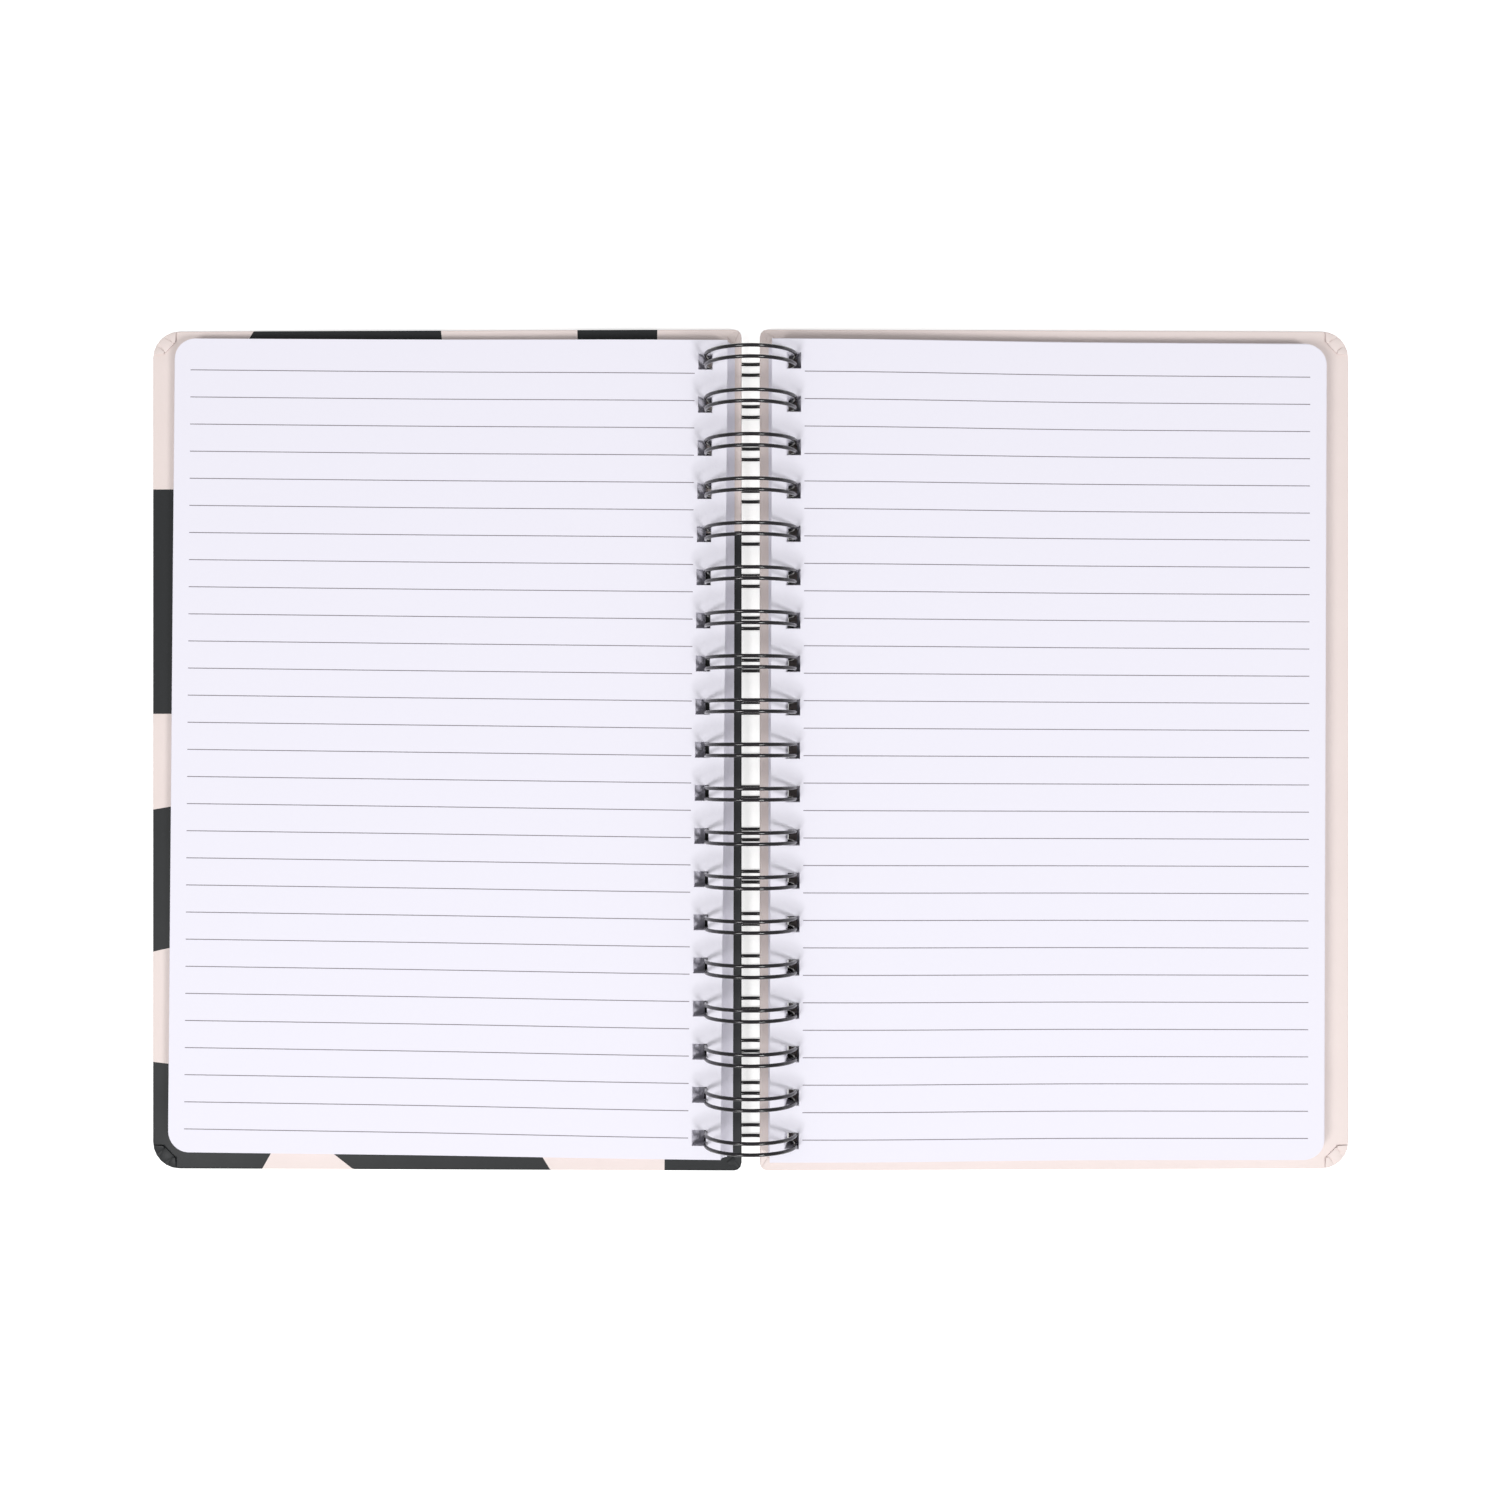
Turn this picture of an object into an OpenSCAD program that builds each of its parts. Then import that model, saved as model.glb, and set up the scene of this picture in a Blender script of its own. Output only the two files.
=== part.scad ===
// Open hardcover notebook on a twin-loop wire, lying on a table with about half its sheets turned over.
// X runs from the left half to the right half, Y up the page, Z up from the table.
// The origin is on the table, under the middle of the wire.

/* [Sheets] */
// Width of a sheet, from its punched edge to its fore-edge
page_w = 164; // [120:1:220]
// Height of a sheet
page_h = 241.3; // [150:0.1:300]
// Radius of a sheet's two fore-edge corners
page_corner_r = 6; // [2:0.5:15]
// Thickness of the turned sheets on the left, away from the wire
left_stack_t = 5; // [2:0.1:6]
// Thickness of the sheets on the right, away from the wire
right_stack_t = 6.5; // [2:0.1:7]
// Extra height that the loose sheets gain beside the wire, on the left
left_swell = 1.6; // [0.2:0.1:2]
// Extra height that the loose sheets gain beside the wire, on the right
right_swell = 3; // [0.5:0.1:3.2]
// Distance from the wire over which the sheets settle down again
swell_reach = 90; // [40:1:110]
// Turn of the left sheets on the wire, which their loose holes allow
left_skew = 0.5; // [0:0.05:0.6]
// How far the top sheet on the left is pulled outwards on the wire
left_top_pull = 0.8; // [-1:0.1:1.2]
// How far the lowest sheet on the left is pulled outwards on the wire
left_low_pull = 1.1; // [-1:0.1:1.5]
// How far the top sheet on the right is pulled outwards on the wire
right_top_pull = -0.6; // [-1:0.1:1.2]
// How far the lowest sheet on the right is pulled outwards on the wire
right_low_pull = 1.3; // [-1:0.1:1.5]

/* [Punched holes] */
// Width of a hole, across the wire
hole_w = 4.6; // [4.2:0.1:5]
// Height of a hole, along the wire's axis
hole_h = 5; // [4.7:0.1:6]
// From a sheet's punched edge to the middle of its holes
hole_inset = 6.4; // [5:0.1:7.5]
// Least distance from a sheet's top or bottom edge to the middle of its first hole
end_margin = 5; // [4:0.1:12]

/* [Covers] */
// How much wider a cover is than a sheet
cover_extra_w = 12.5; // [10:0.5:20]
// How far a cover stands out past the sheets at the head and at the foot
cover_overhang = 4.85; // [2:0.05:8]
// Thickness of a cover, board and wrap together
cover_t = 2.5; // [1.5:0.1:3]
// Radius of a cover's two fore-edge corners
cover_corner_r = 8; // [3:0.5:15]
// Radius of a cover's two corners beside the wire
cover_inner_r = 1.6; // [0.5:0.1:4]
// From a cover's wire edge to the middle of its holes
cover_hole_inset = 6.2; // [5:0.1:7]
// Gap between the two covers' wire edges
cover_gap = 5.4; // [4:0.1:7]
// Thickness of the lining sheet pasted inside a cover
lining_t = 0.2; // [0.1:0.05:0.4]
// Width of the wrap's turned-in border that the lining leaves bare
turn_in = 12; // [10:0.5:18]

/* [Wire] */
// Inside diameter of the loops
loop_d = 25.4; // [25:0.1:28]
// Diameter of the wire
wire_d = 1.1; // [0.8:0.05:1.3]
// Distance from one twin loop to the next
pitch = 12.7; // [11:0.1:16]
// Distance between the two wires of a twin loop, middle to middle
twin_gap = 3.2; // [2.4:0.1:3.4]
// Bend radius where a loop runs into the link to the next loop
root_bend = 1.2; // [0.8:0.1:2]
// How much thinner the links are than the loops, whose ends they are rooted in
link_neck = 0.1; // [0.06:0.01:0.3]
// How deep a link is rooted in the end of a loop
link_root = 0.2; // [0.1:0.05:0.5]
// Clear gap between a loop's tip and the links, where the wire is pressed shut
closure_gap = 0.6; // [0.3:0.1:1.5]
// Place of the loops' tips round the wire, below the level of its axis
tip_angle = 58; // [56:1:62]

/* [Hidden] */
$fn = 48;

// The wire's axis, and the circle that its middle line follows
ring_r = (loop_d + wire_d) / 2;
axis_z = ring_r + wire_d / 2;
loop_count = floor((page_h - 2 * end_margin) / pitch) + 1;

// Arc of a loop: a full turn less its closed tip, the link and the gap between them
closure_len = twin_gap / 2 + wire_d + closure_gap + root_bend;
tip_start = -tip_angle;
loop_sweep = 360 - closure_len / ring_r * 180 / PI;

// A cover is cut to suit the sheets, and its two sides are alike
cover_w = page_w + cover_extra_w;
cover_h = page_h + 2 * cover_overhang;

// A cover leans on the table with its fore-edge and rides on the wire with its holes
cover_hole_x = cover_gap / 2 + cover_hole_inset;
cover_hole_z = axis_z - sqrt(pow(ring_r, 2) - pow(cover_hole_x, 2));
cover_tilt = asin((cover_hole_z - cover_t / 2) / (cover_w - cover_hole_inset));
cover_fore_x = cover_gap / 2 + cover_w * cos(cover_tilt);

// A stack is drawn this much too deep and too long, and then cut
bed = 1;
overrun = 40;
// Straight pieces that a stack's settling top and its punched edge are drawn in
profile_steps = 14;
edge_steps = 6;
// Height of the lowest sheet at its holes, and where the stack starts to settle
sheets_low_z = seat_z(ring_r);
swell_peak_x = ring_r + hole_inset;
// Joins of the plan outline overlap by this much
overlap = 0.1;

function loop_y(k) = (k - (loop_count - 1) / 2) * pitch;
function seat_z(x) = (cover_fore_x - x) * tan(cover_tilt) + (cover_t + lining_t) / cos(cover_tilt);
function swell_at(x) = pow(cos(90 * min(1, max(0, x - swell_peak_x) / swell_reach)), 2);
function hole_x_at(z) = sqrt(pow(ring_r, 2) - pow(axis_z - z, 2));

// Turns a profile drawn in X and Z into a bar along Y
module along_spine(length) {
    rotate([90, 0, 0])
        linear_extrude(length, center = true)
            children();
}

// Sheet or board outline that ends at x = 0 with two rounded corners, and starts at x = -w
module board_outline(w, h, fore_r, inner_r) {
    translate([-fore_r, 0])
        for (side = [-1, 1])
            translate([0, side * (h / 2 - fore_r)])
                circle(fore_r);
    translate([-w + inner_r, 0])
        for (side = [-1, 1])
            translate([0, side * (h / 2 - inner_r)])
                circle(inner_r);
    translate([-w + inner_r, -h / 2])
        square([w - inner_r - fore_r, h]);
    translate([-w, -h / 2 + inner_r])
        square([inner_r + overlap, h - 2 * inner_r]);
    translate([-fore_r - overlap, -h / 2 + fore_r])
        square([fore_r + overlap, h - 2 * fore_r]);
}

// Places a board built flat, fore-edge at x = 0 and underside at z = 0, on the right half
module lean_right() {
    translate([cover_fore_x, 0, 0])
        rotate([0, cover_tilt, 0])
            children();
}

// Curved slots that the twin loops run through, one per loop
module wire_channels() {
    for (k = [0 : loop_count - 1])
        translate([0, loop_y(k), axis_z])
            along_spine(hole_h)
                difference() {
                    circle(ring_r + hole_w / 2);
                    circle(ring_r - hole_w / 2);
                }
}

module cover_board() {
    difference() {
        lean_right()
            linear_extrude(cover_t)
                board_outline(cover_w, cover_h, cover_corner_r, cover_inner_r);
        wire_channels();
    }
}

// Lining pasted on the cover's inner face, inside the wrap's turned-in border
module lining_sheet() {
    lining_w = cover_w - 2 * turn_in;
    lining_h = cover_h - 2 * turn_in;
    lean_right()
        translate([-turn_in, 0, cover_t])
            linear_extrude(lining_t)
                board_outline(lining_w, lining_h, cover_corner_r / 2, cover_inner_r);
}

// Distance of a sheet's punched edge from the spine, at a share of the stack's rise up the loops
function punched_x(part, rise, low_pull, top_pull) =
    hole_x_at(sheets_low_z + part * rise) - hole_inset + low_pull + part * (top_pull - low_pull);

// Side view of a stack: swollen towards the wire, its punched edges following the loops
module stack_profile(stack_t, swell, low_pull, top_pull) {
    span = page_w + overrun;
    rise = stack_t + swell;
    punched_edge = [
        for (i = [0 : edge_steps])
            let (part = i / edge_steps)
                [punched_x(part, rise, low_pull, top_pull), sheets_low_z + part * rise]
    ];
    top_sheet = [
        for (i = [0 : profile_steps])
            let (x = swell_peak_x + i * swell_reach / profile_steps)
                [x, seat_z(x) + stack_t + swell * swell_at(x)]
    ];
    polygon(concat(
        [[span, seat_z(span) - bed], [punched_edge[0][0], sheets_low_z - bed]],
        punched_edge,
        top_sheet,
        [[span, seat_z(span) + stack_t]]
    ));
}

// Everything from the lining's face down
module under_sheets() {
    span = page_w + overrun;
    along_spine(page_h + overrun)
        polygon([[-overrun, 0], [span, 0], [span, seat_z(span)], [-overrun, seat_z(-overrun)]]);
}

// Sheets of one half, turned on the wire by skew and lying flat on the lining
module page_stack(stack_t, swell, low_pull, top_pull, skew) {
    rise = stack_t + swell;
    low_edge_x = punched_x(0, rise, low_pull, top_pull);
    top_edge_x = punched_x(1, rise, low_pull, top_pull);
    low_fore_x = low_edge_x + page_w;
    slant = atan((top_edge_x - low_edge_x) / stack_t);
    difference() {
        rotate([0, 0, skew])
            difference() {
                intersection() {
                    along_spine(page_h + overrun)
                        stack_profile(stack_t, swell, low_pull, top_pull);
                    translate([low_fore_x, 0, seat_z(low_fore_x)])
                        rotate([0, slant, 0])
                            linear_extrude(2 * page_w, center = true)
                                board_outline(page_w + overrun, page_h, page_corner_r, page_corner_r);
                }
                wire_channels();
            }
        under_sheets();
    }
}

module front_cover() {
    color("antiquewhite")
        mirror([1, 0, 0])
            cover_board();
}

module back_cover() {
    color("antiquewhite")
        cover_board();
}

module front_lining() {
    color("whitesmoke")
        mirror([1, 0, 0])
            lining_sheet();
}

module back_lining() {
    color("whitesmoke")
        lining_sheet();
}

module left_pages() {
    color("ghostwhite")
        mirror([1, 0, 0])
            page_stack(left_stack_t, left_swell, left_low_pull, left_top_pull, left_skew);
}

module right_pages() {
    color("ghostwhite")
        page_stack(right_stack_t, right_swell, right_low_pull, right_top_pull, 0);
}

// Frame at an angle round the wire: X points outwards, Y along the spine and Z onwards round the loop
module at_wire_angle(y, angle) {
    translate([0, y, axis_z])
        rotate([0, -angle, 0])
            translate([ring_r, 0, 0])
                children();
}

// Round bend of a wire in the plane that touches the loop
module wire_bend(radius, thickness, start, sweep) {
    rotate([0, 90, 0])
        rotate([0, 0, start])
            rotate_extrude(angle = sweep)
                translate([radius, 0])
                    circle(d = thickness);
}

module loop_wire(y) {
    translate([0, y, axis_z])
        rotate([90, 0, 0])
            rotate([0, 0, tip_start])
                rotate_extrude(angle = loop_sweep)
                    translate([ring_r, 0])
                        circle(d = wire_d);
}

// Link from one twin loop to the next, along the spine
module root_link(k) {
    link_d = wire_d - link_neck;
    bar_len = pitch - twin_gap - 2 * root_bend;
    at_wire_angle(loop_y(k) + twin_gap / 2, tip_start + loop_sweep)
        translate([0, root_bend, -link_root]) {
            wire_bend(root_bend, link_d, 180, 90);
            translate([0, 0, root_bend])
                rotate([-90, 0, 0])
                    cylinder(d = link_d, h = bar_len);
            translate([0, bar_len, 0])
                wire_bend(root_bend, link_d, 90, 90);
        }
}

module wire_binding() {
    color("black") {
        for (k = [0 : loop_count - 1]) {
            for (side = [-1, 1])
                loop_wire(loop_y(k) + side * twin_gap / 2);
            at_wire_angle(loop_y(k), tip_start)
                wire_bend(twin_gap / 2, wire_d, -90, 180);
        }
        for (k = [0 : loop_count - 2])
            root_link(k);
    }
}

wire_binding();
front_cover();
front_lining();
left_pages();
back_cover();
back_lining();
right_pages();
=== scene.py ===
# Open hardcover notebook on a twin-loop wire, lying on a white table. Left of the spine is the printed front
# cover with the turned sheets, right of it the plain back cover with the rest.
import math
import random

import bpy
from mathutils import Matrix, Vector


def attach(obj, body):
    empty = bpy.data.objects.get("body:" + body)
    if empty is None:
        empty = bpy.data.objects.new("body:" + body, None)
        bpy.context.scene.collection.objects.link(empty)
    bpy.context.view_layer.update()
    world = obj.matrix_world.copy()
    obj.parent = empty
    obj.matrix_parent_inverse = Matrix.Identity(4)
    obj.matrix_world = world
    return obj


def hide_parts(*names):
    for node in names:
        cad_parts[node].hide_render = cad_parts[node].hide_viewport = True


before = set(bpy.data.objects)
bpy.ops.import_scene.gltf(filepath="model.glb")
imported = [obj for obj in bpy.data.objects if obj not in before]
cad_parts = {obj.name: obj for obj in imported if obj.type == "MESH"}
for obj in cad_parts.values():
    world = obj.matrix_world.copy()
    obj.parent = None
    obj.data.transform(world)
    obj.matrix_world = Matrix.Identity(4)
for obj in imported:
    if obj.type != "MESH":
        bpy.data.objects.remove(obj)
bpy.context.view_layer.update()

MM = 0.001


# The photograph was taken straight down from 541 mm above the table, with the head of the sheets up in the
# picture, and the camera stood a little to the left of the spine.
CAMERA_HEIGHT = 541 * MM
CAMERA_LEFT = -0.2 * MM
FOCAL_PIXELS = 1797
PHOTO_PIXELS = 1500

bpy.ops.object.camera_add(location=(CAMERA_LEFT, 0, CAMERA_HEIGHT), rotation=(0, 0, 0))
camera = bpy.context.object
camera.name = "camera"
camera.data.lens = camera.data.sensor_width * FOCAL_PIXELS / PHOTO_PIXELS
bpy.context.scene.camera = camera
bpy.context.scene.view_settings.view_transform = "Standard"


# The table is a large matt white board. The camera and the gloss of the wire see it a little brighter than it
# is lit, so that it runs out to pure white round the notebook and still keeps the notebook's soft shadow.
TABLE_SIZE = 6
TABLE_DROP = 0.1 * MM
TABLE_WHITE = (0.86, 0.86, 0.86, 1)
TABLE_GLOW = 0.6


def math_node(tree, operation, *values):
    """A Math node on numbers or sockets. Returns its output."""
    made = tree.nodes.new("ShaderNodeMath")
    made.operation = operation
    for place, value in enumerate(values):
        if isinstance(value, (int, float)):
            made.inputs[place].default_value = value
        else:
            tree.links.new(value, made.inputs[place])
    return made.outputs[0]


bpy.ops.object.select_all(action="DESELECT")
bpy.ops.mesh.primitive_plane_add(size=TABLE_SIZE, location=(0, 0, -TABLE_DROP))
table = bpy.context.object
table.name = "table"
table_white = bpy.data.materials.new("table_white")
table_white.use_nodes = True
tree = table_white.node_tree
nodes, links = tree.nodes, tree.links
nodes.clear()
output = nodes.new("ShaderNodeOutputMaterial")
matt = nodes.new("ShaderNodeBsdfDiffuse")
matt.inputs["Color"].default_value = TABLE_WHITE
glow = nodes.new("ShaderNodeEmission")
rays = nodes.new("ShaderNodeLightPath")
seen = math_node(tree, "MAXIMUM", rays.outputs["Is Camera Ray"], rays.outputs["Is Glossy Ray"])
seen = math_node(tree, "MAXIMUM", seen, rays.outputs["Is Transmission Ray"])
links.new(math_node(tree, "MULTIPLY", seen, TABLE_GLOW), glow.inputs["Strength"])
both = nodes.new("ShaderNodeAddShader")
links.new(matt.outputs[0], both.inputs[0])
links.new(glow.outputs[0], both.inputs[1])
links.new(both.outputs[0], output.inputs["Surface"])
table.data.materials.append(table_white)


# Soft studio light: an even pale room, and a softbox on each side of the camera, which puts two bright glints
# on the top of each wire. They stand towards the foot of the pages, and the left one is the larger.
ROOM_LIGHT = 0.41
# Place and size of each softbox in metres, and its power in watts
SOFTBOXES = {
    "softbox_left": ((-0.88, -0.64, 1.7), (0.4, 0.6), 16.6),
    "softbox_right": ((0.88, -0.64, 1.7), (0.3, 0.45), 15.6),
}

world = bpy.data.worlds.new("room")
world.use_nodes = True
tree = world.node_tree
room = tree.nodes["Background"]
room.inputs["Color"].default_value = (1, 1, 1, 1)
rays = tree.nodes.new("ShaderNodeLightPath")
seen = math_node(tree, "MAXIMUM", rays.outputs["Is Camera Ray"], rays.outputs["Is Transmission Ray"])
brightness = math_node(tree, "MULTIPLY_ADD", seen, 1 - ROOM_LIGHT, ROOM_LIGHT)
tree.links.new(brightness, room.inputs["Strength"])
bpy.context.scene.world = world

for name, (place, size, watts) in SOFTBOXES.items():
    bpy.ops.object.light_add(type="AREA", location=place)
    softbox = bpy.context.object
    softbox.name = name
    softbox.data.shape = "RECTANGLE"
    softbox.data.size, softbox.data.size_y = size
    softbox.data.energy = watts
    softbox.rotation_euler = softbox.location.to_track_quat("Z", "Y").to_euler()


# The covers are 2.5 mm greyboard wrapped in a matt laminated paper, which is turned in over the edges and
# pleated at the corners. Both are cut alike, and 19 holes are punched through each beside the spine.
COVER_W = 176.5 * MM
COVER_H = 251 * MM
COVER_T = 2.5 * MM
FORE_CORNER_R = 8 * MM
INNER_CORNER_R = 2.2 * MM
COVER_TILT = math.radians(0.92)
COVER_FORE_X = 179.177 * MM
TURN_IN = 12 * MM
EDGE_ROUNDING = 0.5 * MM
PLEAT_T = 0.33 * MM
PLEAT_ROUNDING = 0.16 * MM
# Width at the rim, width at the inner end, and length of each kind of pleat
BROAD_PLEAT = (2.2 * MM, 4 * MM, 3.6 * MM)
NARROW_PLEAT = (3 * MM, 0.9 * MM, 3 * MM)
SPINE_PLEAT = (1 * MM, 2.6 * MM, 3.4 * MM)
PITCH = 12.7 * MM
LOOPS = 19
LOOP_Y = [(k - (LOOPS - 1) / 2) * PITCH for k in range(LOOPS)]
COVER_HOLE_W = 4.9 * MM
COVER_HOLE_H = 5 * MM
COVER_HOLE_INSET = 6.2 * MM


def start_editing(piece, mode):
    """Opens the piece in edit mode, with nothing selected."""
    bpy.ops.object.select_all(action="DESELECT")
    piece.select_set(True)
    bpy.context.view_layer.objects.active = piece
    bpy.ops.object.mode_set(mode="EDIT")
    bpy.ops.mesh.select_mode(type=mode)
    bpy.ops.mesh.select_all(action="DESELECT")
    bpy.ops.object.mode_set(mode="OBJECT")


def pick(piece, wanted, parts="polygons"):
    """Selects the faces, edges or vertices that the test wants, and goes on in edit mode."""
    bpy.ops.object.mode_set(mode="OBJECT")
    mesh = piece.data
    for group in (mesh.vertices, mesh.edges, mesh.polygons):
        group.foreach_set("select", [False] * len(group))
    for part in getattr(mesh, parts):
        part.select = bool(wanted(part))
    bpy.ops.object.mode_set(mode="EDIT")


def apply_modifier(piece, kind, **settings):
    """Adds a modifier, sets it and applies it."""
    bpy.ops.object.select_all(action="DESELECT")
    piece.select_set(True)
    bpy.context.view_layer.objects.active = piece
    modifier = piece.modifiers.new(kind.lower(), kind)
    for name, value in settings.items():
        setattr(modifier, name, value)
    bpy.ops.object.modifier_apply(modifier=modifier.name)


def settle(piece, location=(0, 0, 0), rotation=(0, 0, 0)):
    """Moves the piece to its place, and leaves that place in its mesh."""
    bpy.ops.object.select_all(action="DESELECT")
    piece.select_set(True)
    bpy.context.view_layer.objects.active = piece
    piece.location = location
    piece.rotation_euler = rotation
    bpy.ops.object.transform_apply(location=True, rotation=True, scale=True)


def faces_up(face):
    """Whether the face lies flat and looks up."""
    return face.normal.z > 0.99


def board_blank():
    """The wrapped board, lying flat with its fore-edge at x = 0."""
    half_h, inner_x = COVER_H / 2, TURN_IN - COVER_W

    def is_rim(edge):
        ends = [board.data.vertices[v].co.z for v in edge.vertices]
        return abs(ends[0] - ends[1]) < MM / 10

    def in_corner(face, x, side):
        beside = abs(face.center.x - x) < TURN_IN and half_h - side * face.center.y < TURN_IN
        return faces_up(face) and beside

    bpy.ops.object.select_all(action="DESELECT")
    bpy.ops.mesh.primitive_plane_add(size=1, location=(-COVER_W / 2, 0, 0))
    board = bpy.context.object
    board.scale = (COVER_W, COVER_H, 1)
    bpy.ops.object.transform_apply(location=True, scale=True)
    start_editing(board, "VERT")
    pick(board, lambda v: v.co.x > -MM, "vertices")
    bpy.ops.mesh.bevel(offset=FORE_CORNER_R, segments=6, affect="VERTICES")
    pick(board, lambda v: v.co.x < -COVER_W + MM, "vertices")
    bpy.ops.mesh.bevel(offset=INNER_CORNER_R, segments=3, affect="VERTICES")
    bpy.ops.mesh.select_mode(type="FACE")
    bpy.ops.mesh.select_all(action="SELECT")
    bpy.ops.mesh.extrude_region_move(TRANSFORM_OT_translate={"value": (0, 0, COVER_T)})
    bpy.ops.mesh.select_all(action="SELECT")
    bpy.ops.mesh.normals_make_consistent(inside=False)
    bpy.ops.mesh.select_mode(type="EDGE")
    pick(board, is_rim, "edges")
    bpy.ops.mesh.bevel(offset=EDGE_ROUNDING, segments=3, affect="EDGES")
    bpy.ops.mesh.select_mode(type="FACE")
    lines = [((-TURN_IN, 0, 0), (1, 0, 0)), ((inner_x, 0, 0), (1, 0, 0))]
    for side in (-1, 1):
        lines.append(((0, side * (half_h - TURN_IN), 0), (0, 1, 0)))
    for place, square_to in lines:
        pick(board, faces_up)
        bpy.ops.mesh.bisect(plane_co=place, plane_no=square_to)
    for side in (-1, 1):
        for x, lean in ((0, 1), (-COVER_W, -1)):
            pick(board, lambda face: in_corner(face, x, side))
            bpy.ops.mesh.bisect(plane_co=(x, side * half_h, 0), plane_no=(lean, -side, 0))
    bpy.ops.object.mode_set(mode="OBJECT")
    return board


def punch_board(board):
    """Punches the row of square-cut holes beside the spine."""
    bpy.ops.object.select_all(action="DESELECT")
    bpy.ops.mesh.primitive_cube_add(size=1, location=(COVER_HOLE_INSET - COVER_W, LOOP_Y[0], COVER_T / 2))
    punch = bpy.context.object
    punch.scale = (COVER_HOLE_W, COVER_HOLE_H, 3 * COVER_T)
    bpy.ops.object.transform_apply(location=True, scale=True)
    apply_modifier(punch, "ARRAY", count=LOOPS, use_relative_offset=False, use_constant_offset=True,
                   constant_offset_displace=(0, PITCH, 0))
    apply_modifier(board, "BOOLEAN", operation="DIFFERENCE", solver="MANIFOLD", object=punch)
    bpy.data.objects.remove(punch)


def wrap_pleat(rim_w, inner_w, length, tilt, rise):
    """One pleat of the wrap: a thin tapering fold, with its rim side at x = 0 and running inwards along -X.
    It is tilted about its length, and rises inwards, both in degrees."""
    bpy.ops.object.select_all(action="DESELECT")
    bpy.ops.mesh.primitive_plane_add(size=1, location=(-length / 2, 0, 0))
    pleat = bpy.context.object
    pleat.scale = (length, rim_w, 1)
    bpy.ops.object.transform_apply(location=True, scale=True)
    start_editing(pleat, "VERT")
    pick(pleat, lambda v: v.co.x < -length / 2, "vertices")
    bpy.ops.transform.resize(value=(1, inner_w / rim_w, 1), center_override=(-length, 0, 0))
    bpy.ops.mesh.select_mode(type="FACE")
    bpy.ops.mesh.select_all(action="SELECT")
    bpy.ops.mesh.extrude_region_move(TRANSFORM_OT_translate={"value": (0, 0, PLEAT_T)})
    bpy.ops.mesh.select_all(action="SELECT")
    bpy.ops.mesh.normals_make_consistent(inside=False)
    bpy.ops.object.mode_set(mode="OBJECT")
    apply_modifier(pleat, "BEVEL", width=PLEAT_ROUNDING, segments=2, limit_method="NONE")
    pleat.rotation_euler = (math.radians(tilt), math.radians(rise), 0)
    bpy.ops.object.transform_apply(rotation=True)
    return pleat


def fold_pleats(board):
    """Lays the wrap's pleats on the inner face: three at each fore-edge corner, one at each spine corner."""
    pleats = []
    for side in (-1, 1):
        for shape, corner_x, corner_r, turn, tilt, rise in (
                (BROAD_PLEAT, -FORE_CORNER_R, FORE_CORNER_R, 45, 0, 3),
                (NARROW_PLEAT, -FORE_CORNER_R, FORE_CORNER_R, 17, -9 * side, 10),
                (NARROW_PLEAT, -FORE_CORNER_R, FORE_CORNER_R, 73, 9 * side, 10),
                (SPINE_PLEAT, -COVER_W + INNER_CORNER_R, INNER_CORNER_R, 135, 4, 3)):
            pleat = wrap_pleat(*shape, tilt, rise)
            angle = side * math.radians(turn)
            corner = Vector((corner_x, side * (COVER_H / 2 - corner_r), COVER_T - PLEAT_T / 3))
            rim = Vector((math.cos(angle), math.sin(angle), 0)) * (corner_r - EDGE_ROUNDING)
            settle(pleat, corner + rim, (0, 0, angle))
            pleats.append(pleat)
    bpy.ops.object.select_all(action="DESELECT")
    for pleat in pleats:
        pleat.select_set(True)
    board.select_set(True)
    bpy.context.view_layer.objects.active = board
    bpy.ops.object.join()


def lay_wrap(board):
    """Unfolds the wrap flat, in metres: the outer face, and beyond its edge the turned-in border."""
    flat = board.data.uv_layers.active or board.data.uv_layers.new()
    flat.name = "wrap"
    for face in board.data.polygons:
        middle = face.center
        to_fore, to_spine = -middle.x, middle.x + COVER_W
        to_side = COVER_H / 2 - abs(middle.y)
        nearest = min(to_fore, to_spine, to_side)
        for loop in face.loop_indices:
            x, y, z = board.data.vertices[board.data.loops[loop].vertex_index].co
            beyond = 0 if face.normal.z < -0.9 else z
            if nearest == to_side:
                out = beyond + (COVER_H / 2 - abs(y) if face.normal.z > 0.9 else 0)
                flat.data[loop].uv = (x, math.copysign(COVER_H / 2 + out, y) if beyond else y)
            elif nearest == to_fore:
                out = beyond + (-x if face.normal.z > 0.9 else 0)
                flat.data[loop].uv = (out if beyond else x, y)
            else:
                out = beyond + (x + COVER_W if face.normal.z > 0.9 else 0)
                flat.data[loop].uv = (-COVER_W - out if beyond else x, y)


def wrapped_cover(name, mirrored):
    """One finished cover in its place, leaning from the wire to its fore-edge on the table."""
    board = board_blank()
    punch_board(board)
    fold_pleats(board)
    lay_wrap(board)
    board.name = board.data.name = name
    settle(board, (COVER_FORE_X, 0, 0), (0, COVER_TILT, 0))
    if mirrored:
        board.scale = (-1, 1, 1)
        bpy.ops.object.transform_apply(scale=True)
        start_editing(board, "FACE")
        bpy.ops.object.mode_set(mode="EDIT")
        bpy.ops.mesh.select_all(action="SELECT")
        bpy.ops.mesh.normals_make_consistent(inside=False)
        bpy.ops.object.mode_set(mode="OBJECT")
    bpy.ops.object.shade_smooth_by_angle(angle=math.radians(35))
    board.data.materials.clear()
    return board


CREAM = (0.83, 0.73, 0.70, 1)
CREAM_DEEP = (0.80, 0.695, 0.665, 1)


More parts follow.
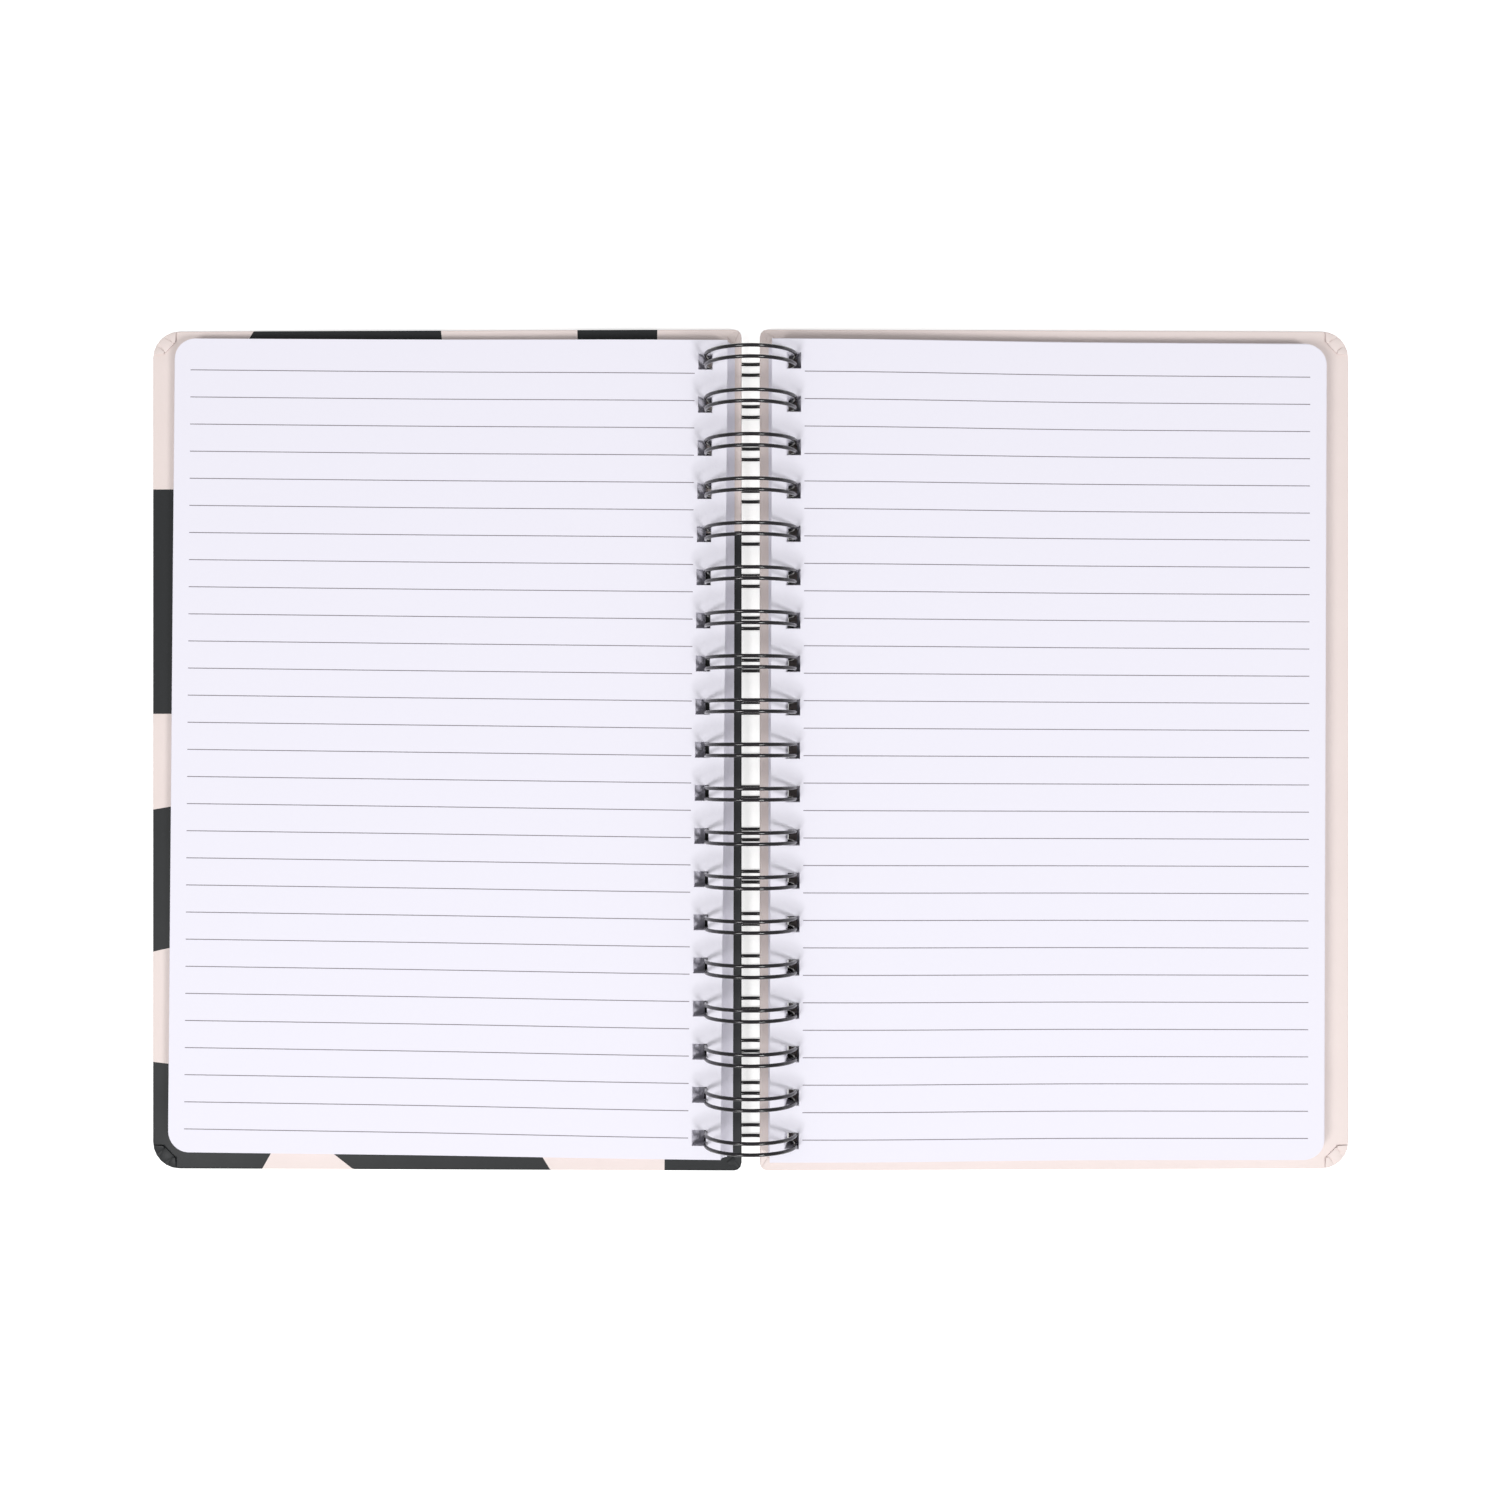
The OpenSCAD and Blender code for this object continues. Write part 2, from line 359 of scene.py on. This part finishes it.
def new_finish(name):
    """A new material. Returns it, its node tree and its shader."""
    material = bpy.data.materials.new(name)
    material.use_nodes = True
    return material, material.node_tree, material.node_tree.nodes["Principled BSDF"]


def grain(tree, scale, detail):
    """Noise in the piece's own coordinates. Returns its output."""
    place = tree.nodes.new("ShaderNodeTexCoord")
    noise = tree.nodes.new("ShaderNodeTexNoise")
    noise.inputs["Scale"].default_value = scale
    noise.inputs["Detail"].default_value = detail
    tree.links.new(place.outputs["Object"], noise.inputs["Vector"])
    return noise.outputs["Fac"]


def blended(tree, amount, under, over):
    """A colour between two, by the amount. The one under may be a colour or a socket. Returns its output."""
    mix = tree.nodes.new("ShaderNodeMix")
    mix.data_type = "RGBA"
    if isinstance(under, tuple):
        mix.inputs["A"].default_value = under
    else:
        tree.links.new(under, mix.inputs["A"])
    mix.inputs["B"].default_value = over
    tree.links.new(amount, mix.inputs["Factor"])
    return mix.outputs["Result"]


def vary_gloss(tree, shader, amount, low, high):
    """Lets the shader's roughness run from low to high."""
    spread = tree.nodes.new("ShaderNodeMapRange")
    spread.inputs["To Min"].default_value = low
    spread.inputs["To Max"].default_value = high
    tree.links.new(amount, spread.inputs["Value"])
    tree.links.new(spread.outputs["Result"], shader.inputs["Roughness"])


def raise_grain(tree, shader, height, strength, depth):
    """Gives the surface a fine relief."""
    relief = tree.nodes.new("ShaderNodeBump")
    relief.inputs["Strength"].default_value = strength
    relief.inputs["Distance"].default_value = depth
    tree.links.new(height, relief.inputs["Height"])
    tree.links.new(relief.outputs["Normal"], shader.inputs["Normal"])


def wrap_finish(name, printing=None):
    """Matt cream paper with a fine tooth, a faint mottle and a soft sheen, and what is printed on it."""
    material, tree, shader = new_finish(name)
    shader.inputs["Specular IOR Level"].default_value = 0.28
    mottle = grain(tree, scale=60, detail=5)
    cream = blended(tree, mottle, CREAM, CREAM_DEEP)
    colour = printing(tree, cream) if printing else cream
    tree.links.new(colour, shader.inputs["Base Color"])
    vary_gloss(tree, shader, mottle, low=0.42, high=0.58)
    tooth = grain(tree, scale=2600, detail=3)
    raise_grain(tree, shader, tooth, strength=0.12, depth=0.05 * MM)
    return material


back_cover = wrapped_cover("back_cover_board", mirrored=False)
back_cover.data.materials.append(wrap_finish("cream_wrap"))
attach(back_cover, "back_half")
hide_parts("back_cover")


# The front cover is wrapped in the same paper, printed with an uneven broad check in black, whose blocks run
# on over the edges on to the turned-in border. The check's lines lean another way once past the edge.
PRINT_BLACK = (0.020, 0.0215, 0.023, 1)
# Each line across, in millimetres: its place at the head edge and at the foot edge, and its lean beyond each
ACROSS_LINES = [
    (-30.5, -32.9, 0.58, -0.55),
    (-86.4, -60.7, 0, 1.18),
    (-127.4, -119.6, 0, 0.6),
    (-151.4, -153.5, 0, 0),
]
# Each line along: its place at the fore-edge and at the spine edge, and its further lean beyond the fore-edge
HEAD_LINE = (77.9, 65.5, -0.07)
WEDGES = [((10.5, -12.8, -0.13), (-17.7, -5.5, 0.24)), ((-60.8, -85, 0.09), (-93.2, -76.6, -0.02))]


def print_check(tree, paper):
    """Prints the blocks on the paper, black where an odd number of lines is crossed. In millimetres."""
    wrap = tree.nodes.new("ShaderNodeUVMap")
    wrap.uv_map = "wrap"
    scaled = tree.nodes.new("ShaderNodeVectorMath")
    scaled.operation = "SCALE"
    scaled.inputs["Scale"].default_value = 1 / MM
    tree.links.new(wrap.outputs["UV"], scaled.inputs[0])
    place = tree.nodes.new("ShaderNodeSeparateXYZ")
    tree.links.new(scaled.outputs["Vector"], place.inputs[0])
    x, y = place.outputs["X"], place.outputs["Y"]
    cover_w, cover_h, cover_t = COVER_W / MM, COVER_H / MM, COVER_T / MM
    past_head = math_node(tree, "MAXIMUM", math_node(tree, "SUBTRACT", y, cover_h / 2 + cover_t), 0)
    past_foot = math_node(tree, "MAXIMUM", math_node(tree, "SUBTRACT", -cover_h / 2 - cover_t, y), 0)
    past_fore = math_node(tree, "MAXIMUM", math_node(tree, "SUBTRACT", x, cover_t), 0)

    def line_along(at_fore, at_spine, lean):
        straight = math_node(tree, "MULTIPLY_ADD", x, (at_fore - at_spine) / cover_w, at_fore)
        return math_node(tree, "MULTIPLY_ADD", past_fore, lean, straight)

    crossed = math_node(tree, "LESS_THAN", y, line_along(*HEAD_LINE))
    for at_head, at_foot, head_lean, foot_lean in ACROSS_LINES:
        line = math_node(tree, "MULTIPLY_ADD", y, (at_head - at_foot) / cover_h, (at_head + at_foot) / 2)
        line = math_node(tree, "MULTIPLY_ADD", past_head, head_lean, line)
        line = math_node(tree, "MULTIPLY_ADD", past_foot, foot_lean, line)
        crossed = math_node(tree, "ADD", crossed, math_node(tree, "LESS_THAN", x, line))
    for upper, lower in WEDGES:
        below_upper = math_node(tree, "LESS_THAN", y, line_along(*upper))
        above_lower = math_node(tree, "GREATER_THAN", y, line_along(*lower))
        crossed = math_node(tree, "MULTIPLY_ADD", below_upper, above_lower, crossed)
    return blended(tree, math_node(tree, "MODULO", crossed, 2), paper, PRINT_BLACK)


front_cover = wrapped_cover("front_cover_board", mirrored=True)
front_cover.data.materials.append(wrap_finish("printed_wrap", print_check))
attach(front_cover, "front_half")
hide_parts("front_cover")


# Each cover is lined with a sheet of plain white uncoated paper. It is pasted on the board's inner face,
# inside the border, where it hides the bare board and the ends of the wrap.
LINING_WHITE = (0.80, 0.79, 0.80, 1)
LINING_BRIGHT = (0.84, 0.83, 0.85, 1)

lining_paper, tree, shader = new_finish("lining_paper")
shader.inputs["Roughness"].default_value = 0.8
fibre = grain(tree, scale=900, detail=6)
tree.links.new(blended(tree, fibre, LINING_WHITE, LINING_BRIGHT), shader.inputs["Base Color"])
raise_grain(tree, shader, fibre, strength=0.2, depth=0.03 * MM)
for name in ("front_lining", "back_lining"):
    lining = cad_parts[name]
    lining.data.materials.clear()
    lining.data.materials.append(lining_paper)


# The sheets are 164 x 241.3 mm of smooth blue-white paper, ruled at about 8 mm on both sides. One sheet is
# cut, its two fore-edge corners are rounded and its holes punched, and each copy lies on the one below, with
# the loops through its holes.
PAGE_W = 164 * MM
PAGE_H = 241.3 * MM
PAGE_CORNER_R = 6 * MM
PAGE_T = 0.1 * MM
HOLE_W = 4.3 * MM
HOLE_H = 4.8 * MM
HOLE_INSET = 6.4 * MM
# Where a sheet can bend, in millimetres from its punched edge
BEND_COLUMNS = [14, 20, 27, 35, 44, 54, 65, 77, 90, 104, 120, 140]
RING_R = 13.25 * MM
AXIS_Z = 13.8 * MM
LINING_T = 0.2 * MM
SWELL_REACH = 90 * MM
# How far leaves stray from each other on the loops: in millimetres across and along the spine, and in degrees
STRAY_ACROSS = 0.15
STRAY_ALONG = 0.2
STRAY_TURN = 0.02


def is_punched(face):
    """Whether the face of the flat sheet lies in a hole."""
    in_row = abs(face.center.x - HOLE_INSET) < HOLE_W / 2
    return in_row and min(abs(face.center.y - y) for y in LOOP_Y) < HOLE_H / 2


def flat_sheet():
    """One sheet, flat, with its punched edge at x = 0."""
    bpy.ops.object.select_all(action="DESELECT")
    bpy.ops.mesh.primitive_plane_add(size=1, location=(PAGE_W / 2, 0, 0))
    sheet = bpy.context.object
    sheet.scale = (PAGE_W, PAGE_H, 1)
    bpy.ops.object.transform_apply(location=True, scale=True)
    sheet.data.uv_layers.active.name = "page"
    start_editing(sheet, "VERT")
    pick(sheet, lambda v: v.co.x > PAGE_W - MM, "vertices")
    bpy.ops.mesh.bevel(offset=PAGE_CORNER_R, segments=8, affect="VERTICES")
    columns = [HOLE_INSET - HOLE_W / 2, HOLE_INSET + HOLE_W / 2] + [x * MM for x in BEND_COLUMNS]
    rows = [y + side * HOLE_H / 2 for y in LOOP_Y for side in (-1, 1)]
    for x in columns:
        bpy.ops.mesh.select_all(action="SELECT")
        bpy.ops.mesh.bisect(plane_co=(x, 0, 0), plane_no=(1, 0, 0))
    for y in rows:
        bpy.ops.mesh.select_all(action="SELECT")
        bpy.ops.mesh.bisect(plane_co=(0, y, 0), plane_no=(0, 1, 0))
    bpy.ops.mesh.select_mode(type="FACE")
    pick(sheet, is_punched)
    bpy.ops.mesh.delete(type="FACE")
    bpy.ops.object.mode_set(mode="OBJECT")
    apply_modifier(sheet, "SOLIDIFY", thickness=PAGE_T, offset=0)
    return sheet


def seat_z(x):
    """Height of the lining's face at x, on the right-hand cover."""
    return (COVER_FORE_X - x) * math.tan(COVER_TILT) + (COVER_T + LINING_T) / math.cos(COVER_TILT)


def swell_at(x):
    """The share of the swell left at x: all at the wire, none where the sheets are settled."""
    past_wire = max(0, x - RING_R - HOLE_INSET) / SWELL_REACH
    return math.cos(math.pi / 2 * min(1, past_wire)) ** 2


def leaf_stack(name, sheet, count, thickness, swell, pulls, bulge, slide, skews, ruling_turn, mirrored, seed):
    """Copies of the sheet lying on a lining, each at its own height up the loops, joined into one stack.
    Pulls and skews say how far the lowest and the top sheet are drawn outwards and turned on the wire, with
    skews in degrees. Bulge says how much further out those between them lie, slide how far all have moved up
    the spine, and ruling_turn how many degrees the ruling is printed out of square."""
    chance = random.Random(seed)
    leaves = []
    for i in range(count):
        share = (i + 0.5) / count
        rise = lambda x: seat_z(x) + share * (thickness + swell * swell_at(x))
        hole_z = rise(RING_R)
        pull = pulls[0] + share * (pulls[1] - pulls[0]) + bulge * 4 * share * (1 - share)
        hole_x = math.sqrt(RING_R ** 2 - (AXIS_Z - hole_z) ** 2) + pull
        top = i == count - 1
        edge_x = hole_x - HOLE_INSET + (0 if top else chance.uniform(-STRAY_ACROSS, STRAY_ACROSS) * MM)
        edge_y = slide + (0 if top else chance.uniform(-STRAY_ALONG, STRAY_ALONG) * MM)
        stray_turn = 0 if top else chance.uniform(-STRAY_TURN, STRAY_TURN)
        skew = math.radians(skews[0] + (skews[1] - skews[0]) * share + stray_turn)
        mesh = sheet.data.copy()
        for v in mesh.vertices:
            x, y = v.co.x + edge_x, v.co.y + edge_y
            x, y = x * math.cos(skew) - y * math.sin(skew), x * math.sin(skew) + y * math.cos(skew)
            v.co = (-x if mirrored else x, y, rise(x) + v.co.z)
        if mirrored:
            mesh.flip_normals()
        leaf = bpy.data.objects.new(f"{name}_{i}", mesh)
        bpy.context.scene.collection.objects.link(leaf)
        leaves.append(leaf)
    bpy.ops.object.select_all(action="DESELECT")
    for leaf in leaves:
        leaf.select_set(True)
    bpy.context.view_layer.objects.active = leaves[0]
    bpy.ops.object.join()
    stack = bpy.context.object
    stack.name = stack.data.name = name
    for corner in stack.data.uv_layers["page"].data:
        corner.uv.y -= math.tan(math.radians(ruling_turn)) * (corner.uv.x - 0.5) * PAGE_W / PAGE_H
    bpy.ops.object.shade_smooth_by_angle(angle=math.radians(30))
    stack.data.materials.clear()
    stack.data.materials.append(ruled_paper)
    return stack


# The ruling, in millimetres: thirty spaces to a page, with a rule between each two
RULE_PITCH = PAGE_H / MM / 30
RULES = 29
FIRST_RULE_FROM_FOOT = 6.5
RULE_WIDTH = 0.26
RULE_FORE_MARGIN = 4.7
RULE_PUNCHED_MARGIN = 9.6
PAPER_WHITE = (0.845, 0.828, 0.912, 1)
PAPER_SHADE = (0.835, 0.817, 0.902, 1)
RULE_GREY = (0.22, 0.20, 0.23, 1)

ruled_paper, tree, shader = new_finish("ruled_paper")
shader.inputs["Roughness"].default_value = 0.75
shader.inputs["Specular IOR Level"].default_value = 0.3
page = tree.nodes.new("ShaderNodeUVMap")
page.uv_map = "page"
across_page = tree.nodes.new("ShaderNodeSeparateXYZ")
tree.links.new(page.outputs["UV"], across_page.inputs[0])
page_w = PAGE_W / MM
from_edge = math_node(tree, "MULTIPLY", across_page.outputs["X"], page_w)
from_foot = math_node(tree, "MULTIPLY", across_page.outputs["Y"], PAGE_H / MM)
first_rule = math_node(tree, "SUBTRACT", from_foot, FIRST_RULE_FROM_FOOT - RULE_PITCH / 2)
in_step = math_node(tree, "MODULO", first_rule, RULE_PITCH)
from_rule = math_node(tree, "ABSOLUTE", math_node(tree, "SUBTRACT", in_step, RULE_PITCH / 2))
on_rule = math_node(tree, "LESS_THAN", from_rule, RULE_WIDTH / 2)
after_first = math_node(tree, "GREATER_THAN", first_rule, 0)
before_last = math_node(tree, "LESS_THAN", first_rule, RULES * RULE_PITCH)
from_middle = math_node(tree, "SUBTRACT", from_edge, (page_w - RULE_FORE_MARGIN + RULE_PUNCHED_MARGIN) / 2)
from_middle = math_node(tree, "ABSOLUTE", from_middle)
in_measure = math_node(tree, "LESS_THAN", from_middle, (page_w - RULE_FORE_MARGIN - RULE_PUNCHED_MARGIN) / 2)
on_rule = math_node(tree, "MULTIPLY", on_rule, in_measure)
ruled = math_node(tree, "MULTIPLY", on_rule, math_node(tree, "MULTIPLY", after_first, before_last))
fibre = grain(tree, scale=700, detail=6)
paper = blended(tree, fibre, PAPER_WHITE, PAPER_SHADE)
tree.links.new(blended(tree, ruled, paper, RULE_GREY), shader.inputs["Base Color"])
raise_grain(tree, shader, fibre, strength=0.15, depth=0.02 * MM)

blank_sheet = flat_sheet()
left_leaves = leaf_stack("left_leaves", blank_sheet, 30, 5 * MM, 1.6 * MM, pulls=(1.15 * MM, 1.1 * MM),
                         bulge=0.4 * MM, slide=0, skews=(0.15, 0.5), ruling_turn=0.22, mirrored=True, seed=3)
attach(left_leaves, "front_half")
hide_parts("left_pages")
right_leaves = leaf_stack("right_leaves", blank_sheet, 40, 6.5 * MM, 3 * MM, pulls=(1.5 * MM, -0.95 * MM),
                          bulge=0, slide=-0.15 * MM, skews=(0, -0.18), ruling_turn=-0.08, mirrored=False,
                          seed=8)
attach(right_leaves, "back_half")
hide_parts("right_pages")
bpy.data.objects.remove(blank_sheet)


# The binding is one length of 1.1 mm steel wire in gloss black enamel, bent into 19 twin loops. Each twin
# loop turns back on itself in a round tip, and straight links join the loops' roots, just short of the tips.
WIRE_R = 0.55 * MM
TWIN_GAP = 3.2 * MM
ROOT_BEND = 1.2 * MM
CLOSURE_GAP = 0.6 * MM
TIP_ANGLE = -58
LOOP_SWEEP = 360 - math.degrees((TWIN_GAP / 2 + 2 * WIRE_R + CLOSURE_GAP + ROOT_BEND) / RING_R)
ROOT_ANGLE = TIP_ANGLE + LOOP_SWEEP
# Flat steps round the wire's section, round a loop, round a tip and round a link's bend
SECTION_SIDES = 12
LOOP_STEPS = 64
TIP_STEPS = 12
BEND_STEPS = 6


def on_ring(angle, y):
    """Point of the wire's middle line, at an angle in degrees from the right-hand side up over the spine."""
    turn = math.radians(angle)
    return Vector((RING_R * math.cos(turn), y, AXIS_Z + RING_R * math.sin(turn)))


def start_wire(name, y):
    """A round section of the wire at a loop's root, selected and ready to be drawn out."""
    bpy.ops.object.select_all(action="DESELECT")
    bpy.ops.mesh.primitive_circle_add(vertices=SECTION_SIDES, radius=WIRE_R, location=on_ring(ROOT_ANGLE, y),
                                      rotation=(0, math.radians(180 - ROOT_ANGLE), 0))
    drawn = bpy.context.object
    drawn.name = name
    bpy.ops.object.transform_apply(location=True, rotation=True)
    bpy.ops.object.mode_set(mode="EDIT")
    bpy.ops.mesh.select_all(action="SELECT")
    return drawn


def bend_round(centre, axis, degrees, steps):
    """Draws the selected section on round a centre, as wire is bent round a pin."""
    bpy.ops.mesh.spin(steps=steps, angle=math.radians(degrees), center=centre, axis=axis)


def draw_twin_loop():
    """The first twin loop: round to the tip, back through the tip's bend, and round to the root again."""
    near, far = LOOP_Y[0] - TWIN_GAP / 2, LOOP_Y[0] + TWIN_GAP / 2
    twin = start_wire("twin_loops", near)
    bend_round((0, near, AXIS_Z), (0, 1, 0), -LOOP_SWEEP, LOOP_STEPS)
    outward = on_ring(TIP_ANGLE, 0) - Vector((0, 0, AXIS_Z))
    bend_round(on_ring(TIP_ANGLE, LOOP_Y[0]), outward, -180, TIP_STEPS)
    bend_round((0, far, AXIS_Z), (0, 1, 0), LOOP_SWEEP, LOOP_STEPS)
    bpy.ops.object.mode_set(mode="OBJECT")
    return twin


def draw_link():
    """The first link: out of a loop's root, straight along the spine, and into the next root."""
    start, end = LOOP_Y[0] + TWIN_GAP / 2, LOOP_Y[1] - TWIN_GAP / 2
    link = start_wire("links", start)
    outward = on_ring(ROOT_ANGLE, 0) - Vector((0, 0, AXIS_Z))
    bend_round(on_ring(ROOT_ANGLE, start + ROOT_BEND), outward, 90, BEND_STEPS)
    straight = (0, end - start - 2 * ROOT_BEND, 0)
    bpy.ops.mesh.extrude_region_move(TRANSFORM_OT_translate={"value": straight})
    bend_round(on_ring(ROOT_ANGLE, end - ROOT_BEND), outward, 90, BEND_STEPS)
    bpy.ops.object.mode_set(mode="OBJECT")
    return link


wire = draw_twin_loop()
links_between = draw_link()
for drawn, count in ((wire, LOOPS), (links_between, LOOPS - 1)):
    apply_modifier(drawn, "ARRAY", count=count, use_relative_offset=False, use_constant_offset=True,
                   constant_offset_displace=(0, PITCH, 0))
links_between.select_set(True)
wire.select_set(True)
bpy.context.view_layer.objects.active = wire
bpy.ops.object.join()
wire.name = wire.data.name = "twin_loop_wire"
start_editing(wire, "EDGE")
bpy.ops.object.mode_set(mode="EDIT")
bpy.ops.mesh.select_all(action="SELECT")
bpy.ops.mesh.remove_doubles(threshold=0.01 * MM)
bpy.ops.mesh.select_all(action="DESELECT")
bpy.ops.mesh.select_non_manifold()
bpy.ops.mesh.edge_face_add()
bpy.ops.mesh.select_all(action="SELECT")
bpy.ops.mesh.fill_holes(sides=SECTION_SIDES)
bpy.ops.mesh.normals_make_consistent(inside=False)
bpy.ops.object.mode_set(mode="OBJECT")
bpy.ops.object.shade_smooth_by_angle(angle=math.radians(50))

ENAMEL_BLACK = (0.006, 0.0045, 0.0065, 1)
ENAMEL_LIGHTER = (0.011, 0.009, 0.012, 1)

black_wire, tree, shader = new_finish("black_wire")
shader.inputs["Specular IOR Level"].default_value = 0.1
shader.inputs["Coat Weight"].default_value = 1
shader.inputs["Coat Roughness"].default_value = 0.05
flow = grain(tree, scale=350, detail=4)
tree.links.new(blended(tree, flow, ENAMEL_BLACK, ENAMEL_LIGHTER), shader.inputs["Base Color"])
vary_gloss(tree, shader, flow, low=0.22, high=0.36)
raise_grain(tree, shader, flow, strength=0.15, depth=0.03 * MM)
wire.data.materials.clear()
wire.data.materials.append(black_wire)
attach(wire, "binding")
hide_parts("wire_binding")
